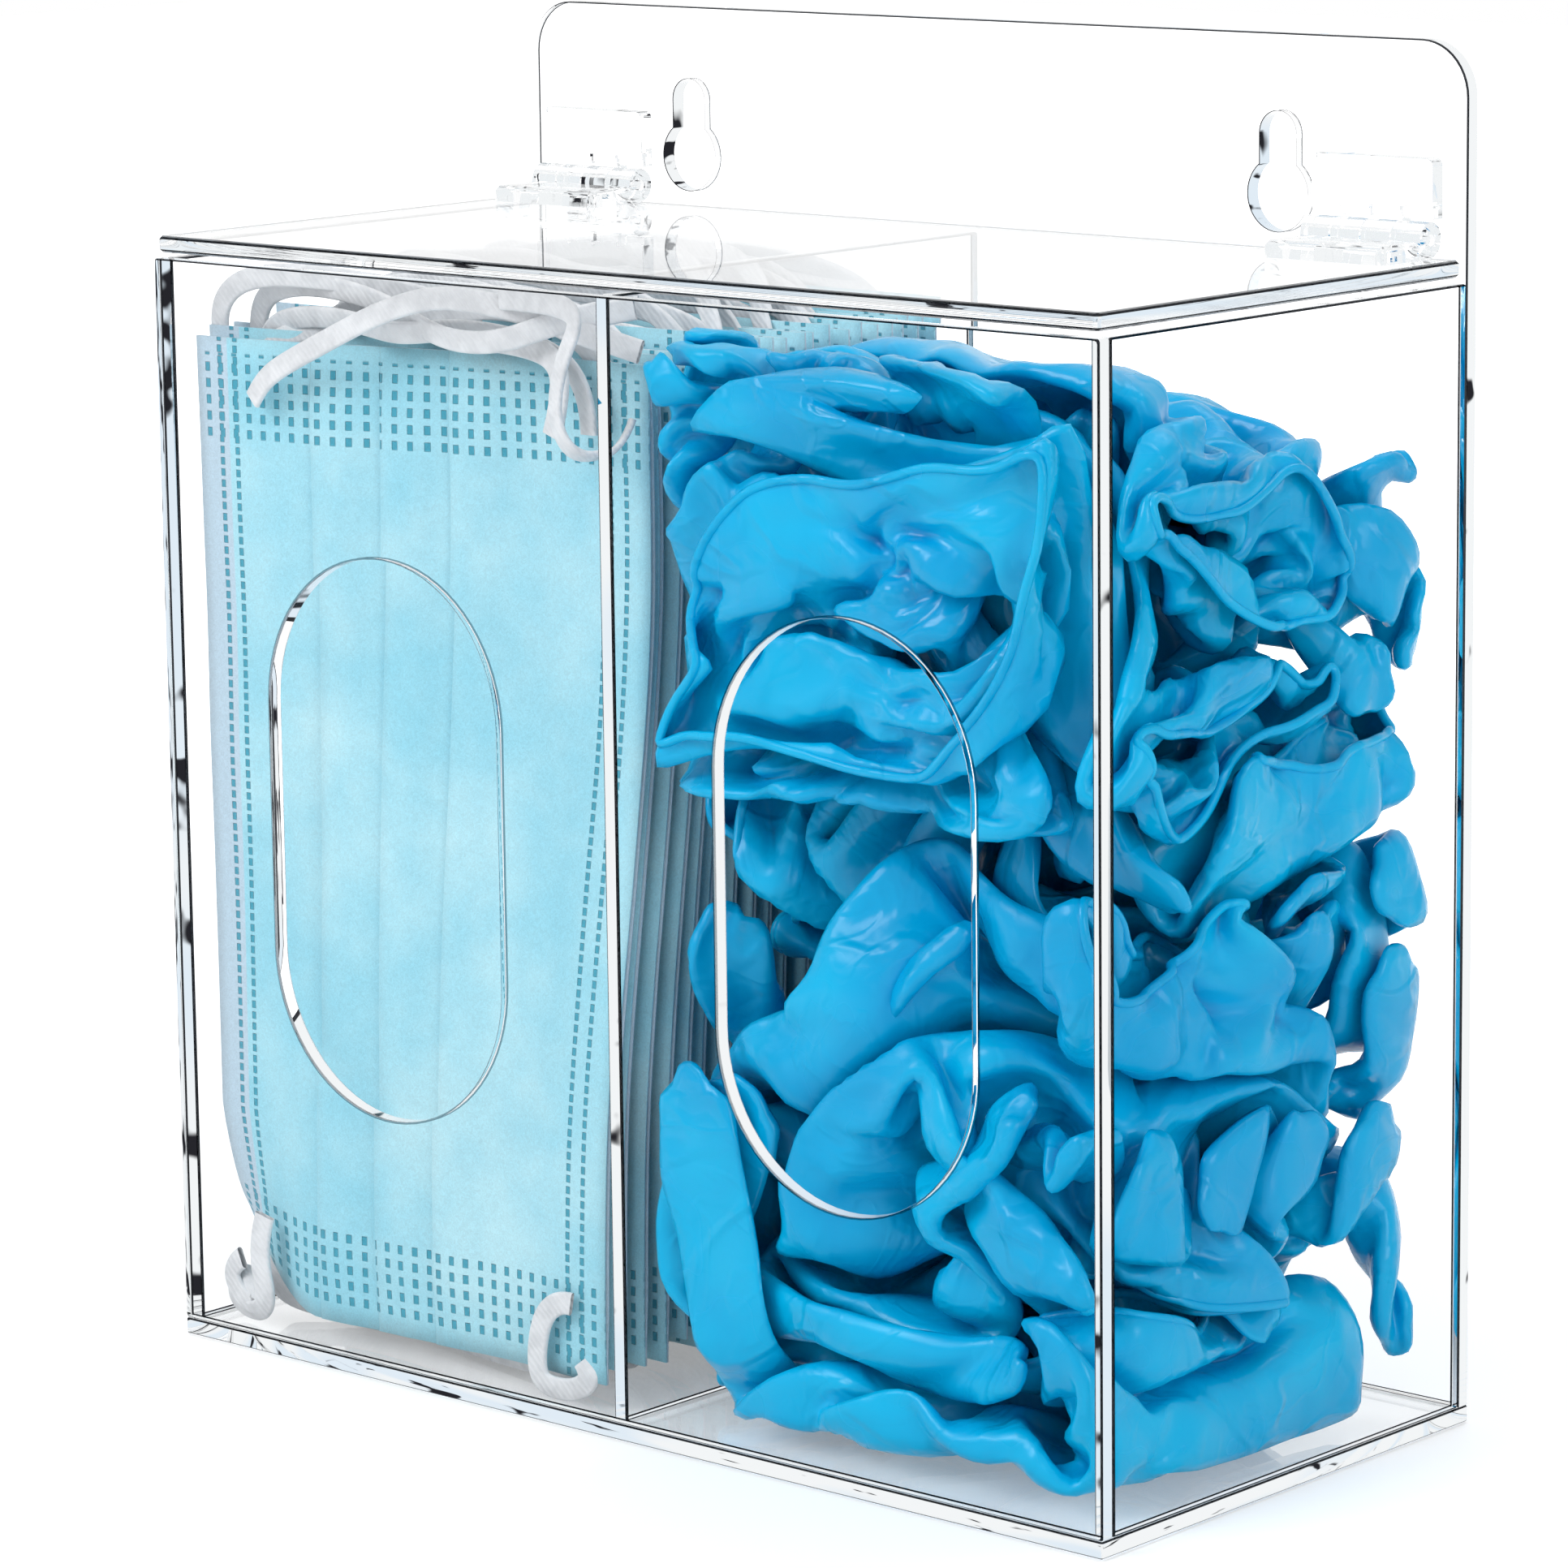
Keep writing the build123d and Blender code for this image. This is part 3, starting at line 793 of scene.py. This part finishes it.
# Nitrile
gloveLook = {
    "creases": [(24, 0.0011, 0.32), (46, 0.0005, 0.2)],
    "deep": (0.0, 0.14, 0.44, 1),
    # Painted shade colour for the gloves' creases and hollows
    "body": (0.0, 0.38, 0.74, 1),
    "thin": (0.0, 0.50, 0.86, 1),
}


def makeNitrile():
    material, tree, shader = newMaterial("nitrile")
    where = addNode(tree, "ShaderNodeTexCoord").outputs["Object"]
    cloud = noiseOn(tree, where, 26, 3, 0.55)
    colour = mixColour(tree, ramp(tree, cloud, 0.3, 0.7), gloveLook["body"], gloveLook["thin"])
    # Painted shade: darker where the film is concave, in its creases and hollows
    edge = addNode(tree, "ShaderNodeNewGeometry").outputs["Pointiness"]
    colour = mixColour(tree, ramp(tree, edge, 0.38, 0.48, 1, 0), colour, gloveLook["deep"])
    link(tree, colour, shader.inputs["Base Color"])
    link(tree, ramp(tree, noiseOn(tree, where, 40, 2), 0.35, 0.7, 0.2, 0.36), shader.inputs["Roughness"])
    shader.inputs["IOR"].default_value = 1.5
    shader.inputs["Specular IOR Level"].default_value = 0.26
    fine = noiseOn(tree, where, 150, 3, 0.6, 0.6)
    texture = bump(tree, fine, 0.12, 0.0005)
    for scale, depth, strength in gloveLook["creases"]:
        fold = maths(tree, "ABSOLUTE", maths(tree, "SUBTRACT", noiseOn(tree, where, scale, 2, 0.5, 1.5), 0.5))
        ridge = ramp(tree, fold, 0.0, 0.07, 1, 0)
        texture = bump(tree, ridge, strength, depth, texture)
    link(tree, texture, shader.inputs["Normal"])
    return material


nitrile = makeNitrile()

# Gloves: flat shapes pressed into their compartment by closing walls
gloveSet = {
    "cell": 5.2 * mm,
    "columns": 32,
    "rows": 46,
    "palmColumns": 19,
    "palmRows": 30,
    "fingerRows": (13, 16, 15, 12),
    "thumbRows": (14, 18),
    "layerGap": 3 * mm,
    "wristPinch": 0.16,
    "thumbSlant": 0.75,
}


def keepCell(column, row):
    palm, top = gloveSet["palmColumns"], gloveSet["palmRows"]
    if column < palm and row < top:
        return True
    if column < palm:
        place = column % 5
        reach = top + gloveSet["fingerRows"][min(column // 5, 3)] - (1 if place in (0, 3) else 0)
        return place != 4 and row < reach
    first, last = gloveSet["thumbRows"]
    shorter = 1 if row in (first, last - 1) else 0
    return first <= row < last and column < gloveSet["columns"] - shorter


# One glove lying flat, its open cuff at the origin and its fingers along +Y
def flatGlove():
    cell, columns, rows = gloveSet["cell"], gloveSet["columns"], gloveSet["rows"]
    bm = bmesh.new()
    bmesh.ops.create_grid(bm, x_segments=columns, y_segments=rows, size=0.5)
    outside = []
    for face in bm.faces:
        middle = face.calc_center_median()
        if not keepCell(int((middle.x + 0.5) * columns), int((middle.y + 0.5) * rows)):
            outside.append(face)
    bmesh.ops.delete(bm, geom=outside, context="FACES")
    bmesh.ops.translate(bm, verts=bm.verts[:], vec=(0.5, 0.5, 0))
    bmesh.ops.scale(bm, verts=bm.verts[:], vec=(columns * cell, rows * cell, 1))
    rim = [vert for vert in bm.verts if vert.is_boundary and vert.co.y > cell / 2]
    for turn in range(2):
        bmesh.ops.smooth_vert(bm, verts=rim, factor=0.5, use_axis_x=True, use_axis_y=True)
    half = gloveSet["palmColumns"] * cell / 2
    for vert in bm.verts:
        x, y = vert.co.x - half, vert.co.y
        y += max(0, x - half) * gloveSet["thumbSlant"]
        pinch = 1 - gloveSet["wristPinch"] * math.exp(-(((y / cell) - 10) / 5) ** 2)
        vert.co = (x * pinch, y, 0)
    grown = bmesh.ops.extrude_face_region(bm, geom=bm.faces[:], use_keep_orig=True)["geom"]
    upper = [item for item in grown if isinstance(item, bmesh.types.BMVert)]
    bmesh.ops.translate(bm, verts=upper, vec=(0, 0, gloveSet["layerGap"]))
    mouth = [face for face in bm.faces if all(vert.co.y < cell * 0.3 for vert in face.verts)]
    bmesh.ops.delete(bm, geom=mouth, context="FACES")
    bmesh.ops.recalc_face_normals(bm, faces=bm.faces[:])
    return bm


# Each glove's start: where its middle is, how it is turned and how tightly it curls, before the walls close
gloveStarts = [
    {"at": (40, 20, 40), "turn": (0, 0, 90), "curl": 4},
    {"at": (60, 100, 50), "turn": (20, 0, -80), "curl": -3},
    {"at": (50, 20, 100), "turn": (0, 20, -100), "curl": 3},
    {"at": (50, 110, 120), "turn": (0, -10, 80), "curl": -4},
    {"at": (50, 30, 170), "turn": (10, 0, 70), "curl": 5},
    {"at": (50, 110, 200), "turn": (0, 15, -90), "curl": 3},
    {"at": (50, 0, 240), "turn": (0, 0, -70), "curl": -4},
    {"at": (50, 110, 270), "turn": (0, 10, 100), "curl": 3},
    {"at": (50, 20, 310), "turn": (-10, 0, 90), "curl": 4},
    {"at": (50, 110, 340), "turn": (0, 0, -90), "curl": -3},
    {"at": (50, 30, 380), "turn": (0, 10, 80), "curl": 2},
]

# The glove at the front top left is held by its cuff, which faces the front panel as an open ring
ringStart = {"at": (46, -43.5, 148), "turn": (0, -22, 0), "curl": 14, "curlFrom": 100, "cuff": (44, 29), "openRows": 14}

# How the heap and the ring glove are pressed. Places are in millimetres, and the cloth is ten times as large.
heapPress = {
    "frames": 50,
    "closed": 42,
    "startRoom": ((-72, 178), (-48, 172), (3.4, 420)),
    "room": ((1.8, 103.2), (-45.9, 46.9), (3.4, 190)),
    "bend": 0.5,
    "wallGrip": 3,
    "keptFree": ((1.8, 92), (-46, -24), (112, 190)),
}
ringPress = {
    "frames": 46,
    "closed": 38,
    "startRoom": ((-30, 130), (-46.5, 240), (80, 240)),
    "room": ((1.8, 95), (-45.9, -20), (110, 190)),
    "bend": 0.3,
    "wallGrip": 15,
}
filmSet = {
    "scale": 10.0,
    "margin": 3 * mm,
    "middle": 120 * mm,
    "wave": 12 * mm,
    "quality": 5,
    "mass": 0.3,
    "stretch": 15,
    "shear": 5,
    "gravity": 0.15,
    "touch": 0.012,
}


def startGlove(number, start, startRoom):
    bm = flatGlove()
    cell = gloveSet["cell"]
    half = gloveSet["palmColumns"] * cell / 2
    openRows = start.get("openRows", 0)
    middle = filmSet["middle"]
    radius, curlFrom = 1 / start["curl"], start.get("curlFrom", 120) * mm
    for vert in bm.verts:
        x, y, z = vert.co
        if openRows:
            share = easeInOut(1 - y / (openRows * cell))
            angle = max(-1, min(1, x / (half * 0.97))) * math.pi / 2
            wide, tall = (value * mm for value in start["cuff"])
            side = 1 if z > gloveSet["layerGap"] / 2 else -1
            x += (wide * math.sin(angle) - x) * share
            z += (tall * math.cos(angle) * side - z) * share
        z += noise.noise_vector(Vector((x, y, number * 3.7)) * 18).z * filmSet["wave"]
        if not openRows or y > curlFrom:
            angle = (y - curlFrom) / radius
            y, z = curlFrom + (radius - z) * math.sin(angle), radius - (radius - z) * math.cos(angle)
        vert.co = (x, y if openRows else y - middle, z)
    turn = Euler([math.radians(angle) for angle in start["turn"]]).to_matrix().to_4x4()
    place = Matrix.Translation([value * mm for value in start["at"]])
    bmesh.ops.transform(bm, matrix=place @ turn, verts=bm.verts[:])
    if openRows:
        return bm
    for axis, (low, high) in enumerate(startRoom):
        below = min(vert.co[axis] for vert in bm.verts) - low * mm - filmSet["margin"]
        above = high * mm - max(vert.co[axis] for vert in bm.verts) - filmSet["margin"]
        shift = Vector((0, 0, 0))
        shift[axis] = -below if below < 0 else min(above, 0)
        bmesh.ops.translate(bm, verts=bm.verts[:], vec=shift)
    return bm


def hardWall(name, bm, grip, size, stops):
    wall = newObject(name, bm)
    wall.scale = size
    for frameNumber, place in stops:
        wall.location = place
        wall.keyframe_insert("location", frame=frameNumber)
    for curve in wall.animation_data.action.fcurves:
        for key in curve.keyframe_points:
            key.interpolation = "LINEAR"
    wall.modifiers.new("hard", "COLLISION")
    wall.collision.thickness_outer = filmSet["touch"]
    wall.collision.thickness_inner = 0.3
    wall.collision.cloth_friction = grip
    wall.collision.damping = 0.3
    return wall


# A wall that closes from its start to the compartment's own side
def closingWall(plan, axis, side):
    bm = bmesh.new()
    bmesh.ops.create_cube(bm, size=1)
    size = [8.0, 8.0, 8.0]
    size[axis] = 0.6
    stops = []
    for frameNumber, room in ((1, plan["startRoom"]), (plan["closed"], plan["room"])):
        place = [0.5, 0.0, 1.0]
        place[axis] = room[axis][side] * mm * filmSet["scale"] + (0.3 if side else -0.3)
        stops.append((frameNumber, place))
    return hardWall(f"wall_{axis}_{side}", bm, plan["wallGrip"], size, stops)


# A rounded block that comes in from the front and keeps the ring glove's room free
def keptFree(plan):
    (left, right), (front, back), (bottom, top) = plan["keptFree"]
    bm = bmesh.new()
    bmesh.ops.create_cube(bm, size=1)
    bmesh.ops.subdivide_edges(bm, edges=bm.edges[:], cuts=3, use_grid_fill=True)
    for vert in bm.verts:
        vert.co = vert.co * 0.55 + vert.co.normalized() * 0.28
    step = mm * filmSet["scale"]
    size = Vector((right - left, 2 * (back - front), top - bottom)) * step
    middle = Vector(((left + right) / 2, front, (bottom + top) / 2)) * step
    outward = Vector((0, size.y, 0))
    stops = [(1, middle - outward * 1.2), (12, middle - outward * 0.6), (plan["closed"], middle)]
    return hardWall("keptFree", bm, 1, size, stops)


# Puts the cloth's settings on the film, closes the walls on it and gives its pressed mesh
def pressFilm(film, walls, plan):
    cloth = film.modifiers.new("press", "CLOTH")
    settings = cloth.settings
    if film.vertex_groups:
        settings.vertex_group_mass = film.vertex_groups[0].name
    settings.quality = filmSet["quality"]
    settings.mass = filmSet["mass"]
    settings.air_damping = 2
    settings.tension_stiffness = filmSet["stretch"]
    settings.compression_stiffness = filmSet["stretch"]
    settings.shear_stiffness = filmSet["shear"]
    settings.bending_stiffness = plan["bend"]
    settings.bending_damping = 0.5
    settings.effector_weights.gravity = filmSet["gravity"]
    touch = cloth.collision_settings
    touch.distance_min = filmSet["touch"]
    touch.collision_quality = 3
    touch.use_self_collision = True
    touch.self_distance_min = filmSet["touch"]
    touch.self_friction = 5
    scene.frame_start = 1
    scene.frame_end = plan["frames"]
    cloth.point_cache.frame_start = 1
    cloth.point_cache.frame_end = plan["frames"] + 1
    for frameNumber in range(1, plan["frames"] + 1):
        scene.frame_set(frameNumber)
    view = bpy.context.evaluated_depsgraph_get()
    pressed = bpy.data.meshes.new_from_object(film.evaluated_get(view))
    for item in [film, *walls]:
        bpy.data.objects.remove(item)
    scene.frame_set(1)
    return pressed


# The operators leave edges and faces in another order on each run, and cloth folds by that order.
# This copy always has the same one, so that the gloves fold the same way each time.
def sortedMesh(name, bm):
    faces = []
    for face in bm.faces:
        around = [vert.index for vert in face.verts]
        first = around.index(min(around))
        faces.append(around[first:] + around[:first])
    mesh = bpy.data.meshes.new(name)
    mesh.from_pydata([vert.co for vert in bm.verts], [], sorted(faces))
    return mesh


# Presses one set of gloves and gives a bmesh of each in its place
def pressGloves(name, starts, plan):
    joined = bmesh.new()
    spans = []
    for number, start in enumerate(starts, start=1):
        one = startGlove(number, start, plan["startRoom"])
        mesh = bpy.data.meshes.new("start")
        one.to_mesh(mesh)
        one.free()
        first = len(joined.verts)
        joined.from_mesh(mesh)
        spans.append((first, len(joined.verts)))
        bpy.data.meshes.remove(mesh)
    bmesh.ops.scale(joined, vec=(filmSet["scale"],) * 3, verts=joined.verts[:])
    joined.verts.index_update()
    held = [vert.index for vert in joined.verts if vert.is_boundary] if "openRows" in starts[0] else []
    film = bpy.data.objects.new(name, sortedMesh(name, joined))
    scene.collection.objects.link(film)
    joined.free()
    if held:
        film.vertex_groups.new(name="held").add(held, 1.0, "REPLACE")
    walls = [closingWall(plan, axis, side) for axis in range(3) for side in range(2)]
    if "keptFree" in plan:
        walls.append(keptFree(plan))
    pressed = pressFilm(film, walls, plan)
    gloves = []
    for first, last in spans:
        bm = bmesh.new()
        bm.from_mesh(pressed)
        bm.verts.ensure_lookup_table()
        others = [vert for vert in bm.verts if not first <= vert.index < last]
        bmesh.ops.delete(bm, geom=others, context="VERTS")
        bmesh.ops.scale(bm, vec=(1 / filmSet["scale"],) * 3, verts=bm.verts[:])
        gloves.append(bm)
    bpy.data.meshes.remove(pressed)
    return gloves


gloveFinish = {"beadRadius": 0.85 * mm, "rimRounds": 10, "skinRounds": 1, "film": 0.15 * mm}


# Rolled bead round an open cuff, as a tube along its rim
def cuffBead(points):
    data = bpy.data.curves.new("bead", "CURVE")
    data.dimensions = "3D"
    data.bevel_depth = gloveFinish["beadRadius"]
    data.bevel_resolution = 2
    data.resolution_u = 3
    spline = data.splines.new("NURBS")
    spline.points.add(len(points) - 1)
    for point, co in zip(spline.points, points):
        point.co = (*co, 1)
    spline.order_u = 3
    spline.use_cyclic_u = True
    helper = bpy.data.objects.new("bead", data)
    scene.collection.objects.link(helper)
    view = bpy.context.evaluated_depsgraph_get()
    mesh = bpy.data.meshes.new_from_object(helper.evaluated_get(view))
    bpy.data.objects.remove(helper)
    bpy.data.curves.remove(data)
    return mesh


def rimPoints(bm):
    rim = [vert for vert in bm.verts if vert.is_boundary]
    here, before, order = rim[0], None, []
    while here not in order:
        order.append(here)
        near = [edge.other_vert(here) for edge in here.link_edges if edge.is_boundary]
        following = near[0] if near[0] != before else near[1]
        before, here = here, following
    return [vert.co.copy() for vert in order]


# The glove solid that stands nearest to a pressed glove and isn't replaced yet
def nearestGlove(bm, free):
    middle = sum((vert.co for vert in bm.verts), Vector()) / len(bm.verts)
    return min(free, key=lambda name: ((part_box(name)[0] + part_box(name)[1]) / 2 - middle).length)


def makeGloves():
    free = [name for name in sorted(nodes) if name.startswith("glove")]
    for bm in pressGloves("ring", [ringStart], ringPress) + pressGloves("heap", gloveStarts, heapPress):
        rim = [vert for vert in bm.verts if vert.is_boundary]
        for turn in range(gloveFinish["rimRounds"]):
            bmesh.ops.smooth_vert(bm, verts=rim, factor=0.5, use_axis_x=True, use_axis_y=True, use_axis_z=True)
        bead = cuffBead(rimPoints(bm))
        name = nearestGlove(bm, free)
        free.remove(name)
        piece = newObject(f"{name}_skin", bm, nitrile)
        fine = piece.modifiers.new("fine", "SUBSURF")
        fine.levels = fine.render_levels = gloveFinish["skinRounds"]
        thick = piece.modifiers.new("thick", "SOLIDIFY")
        thick.thickness = gloveFinish["film"]
        thick.offset = 0
        applyModifiers(piece)
        whole = bmesh.new()
        whole.from_mesh(piece.data)
        whole.from_mesh(bead)
        whole.to_mesh(piece.data)
        whole.free()
        bpy.data.meshes.remove(bead)
        smoothShade(piece)
        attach(piece, "box")
        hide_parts(name)


makeGloves()
print("gloves done")

# Floor, light and surroundings
studioSet = {
    "floorColour": (0.93, 0.935, 0.94, 1),
    "floorReach": 3.0,
    "floorGlow": 0.35,
    "shadowReach": (0.25, 0.75),
    "skyLevel": 0.55,
    "keyPower": 10,
    "keyPlace": (-0.55, -1.1, 1.15),
    "keySize": 0.8,
    "fillPower": 4,
    "fillPlace": (1.3, -0.4, 0.6),
    "fillSize": 0.7,
    "topPower": 3,
    "topPlace": (0.1, 0.5, 1.3),
    "topSize": 0.6,
}


# White to the camera, and in glass and gloss, at the light's own level elsewhere
def seenWhite(tree):
    path = addNode(tree, "ShaderNodeLightPath")
    seen = maths(tree, "MAXIMUM", path.outputs["Is Camera Ray"], path.outputs["Is Glossy Ray"])
    seen = maths(tree, "MAXIMUM", seen, path.outputs["Is Transmission Ray"])
    return seen


def makeWorld():
    world = bpy.data.worlds.new("studio")
    scene.world = world
    world.use_nodes = True
    tree = world.node_tree
    background = tree.nodes["Background"]
    background.inputs["Color"].default_value = (1, 1, 1, 1)
    seen = seenWhite(tree)
    level = ramp(tree, seen, 0, 1, studioSet["skyLevel"], 1.0)
    link(tree, level, background.inputs["Strength"])


def makeFloor():
    bm = bmesh.new()
    bmesh.ops.create_grid(bm, x_segments=2, y_segments=2, size=studioSet["floorReach"])
    bmesh.ops.translate(bm, verts=bm.verts[:], vec=(0, 0, -0.0002))
    material, tree, shader = newMaterial("floor")
    shader.inputs["Base Color"].default_value = studioSet["floorColour"]
    shader.inputs["Roughness"].default_value = 0.6
    shader.inputs["Emission Color"].default_value = (1, 1, 1, 1)
    seen = seenWhite(tree)
    away = addNode(tree, "ShaderNodeVectorMath", operation="LENGTH")
    link(tree, addNode(tree, "ShaderNodeTexCoord").outputs["Object"], away.inputs[0])
    glow = ramp(tree, away.outputs["Value"], *studioSet["shadowReach"], studioSet["floorGlow"], 1.0)
    link(tree, maths(tree, "MULTIPLY", seen, glow), shader.inputs["Emission Strength"])
    floor = newObject("floor", bm, material)


def makeLamp(name, power, place, size):
    data = bpy.data.lights.new(name, "AREA")
    data.energy = power
    data.size = size
    lamp = bpy.data.objects.new(name, data)
    lamp.location = place
    aim = Vector((0, 0, 0.1)) - Vector(place)
    lamp.rotation_euler = aim.to_track_quat("-Z", "Y").to_euler()
    scene.collection.objects.link(lamp)


makeWorld()
makeFloor()
makeLamp("key", studioSet["keyPower"], studioSet["keyPlace"], studioSet["keySize"])
makeLamp("fill", studioSet["fillPower"], studioSet["fillPlace"], studioSet["fillSize"])
makeLamp("top", studioSet["topPower"], studioSet["topPlace"], studioSet["topSize"])
scene.view_settings.view_transform = "Standard"
scene.cycles.max_bounces = 10
scene.cycles.diffuse_bounces = 2
scene.cycles.glossy_bounces = 10
scene.cycles.transmission_bounces = 10
scene.cycles.transparent_max_bounces = 16
print("studio done")
